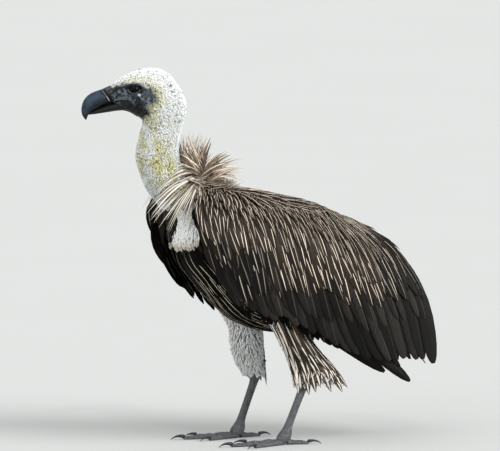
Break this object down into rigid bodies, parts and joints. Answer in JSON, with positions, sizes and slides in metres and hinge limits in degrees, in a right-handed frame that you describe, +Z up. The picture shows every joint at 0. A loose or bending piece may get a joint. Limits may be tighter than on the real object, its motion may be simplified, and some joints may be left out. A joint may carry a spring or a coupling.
{
  "type": "white-backed vulture",
  "caption": "Life-size still model of a standing young white-backed vulture with folded wings, a hooked bill and a shaggy ruff.",
  "frame": {"origin": "middle of the whole bird's box, on the floor that its feet stand on", "axes": "+Z up, the bird faces -Y and its left side is towards +X; its head is turned a little to its right"},
  "size_m": [0.2652, 0.5568, 0.5858],
  "materials": {
    "neck_down": "short woolly whitish down with dark specks, matte",
    "body_feathers": "dark brown feathers with thin pale shaft streaks, satin",
    "rump_feathers": "near-black brown feathers, satin",
    "covert_feathers": "dark brown feathers with narrow buff streaks along the shafts, satin",
    "flight_feathers": "near-black vanes, faintly glossy",
    "tail_feathers": "near-black brown vanes, faintly glossy",
    "thigh_feathers": "brown feathers with whitish streaks, matte",
    "leg_down": "soft whitish down, matte",
    "ruff_feathers": "long narrow buff and brown feathers, matte",
    "bill_horn": "blue-black horn, faintly glossy",
    "bare_skin": "dark grey bare skin with fine folds",
    "leg_skin": "dark grey scaled skin",
    "claw_horn": "black horn",
    "eye": "very dark brown, wet gloss"
  },
  "bodies": {
    "root": {"head": "neck_down", "neck_upper": "neck_down", "neck_lower": "neck_down", "trunk": "body_feathers", "rump": "rump_feathers", "eye_left": "eye", "eye_right": "eye", "cere": "bare_skin", "bill_upper": "bill_horn", "bill_lower": "bill_horn", "wing_left_coverts": "covert_feathers", "wing_left_secondaries": "flight_feathers", "wing_left_primaries": "flight_feathers", "wing_right_coverts": "covert_feathers", "wing_right_secondaries": "flight_feathers", "wing_right_primaries": "flight_feathers", "tail": "tail_feathers", "thigh_left": "thigh_feathers", "thigh_right": "leg_down", "tarsus_left": "leg_skin", "foot_left": "leg_skin", "claw_left_inner": "claw_horn", "claw_left_middle": "claw_horn", "claw_left_outer": "claw_horn", "claw_left_hind": "claw_horn", "tarsus_right": "leg_skin", "foot_right": "leg_skin", "claw_right_inner": "claw_horn", "claw_right_middle": "claw_horn", "claw_right_outer": "claw_horn", "claw_right_hind": "claw_horn", "ruff_crest": "ruff_feathers", "ruff_left": "ruff_feathers", "ruff_right": "ruff_feathers"}
  },
  "joints": []
}
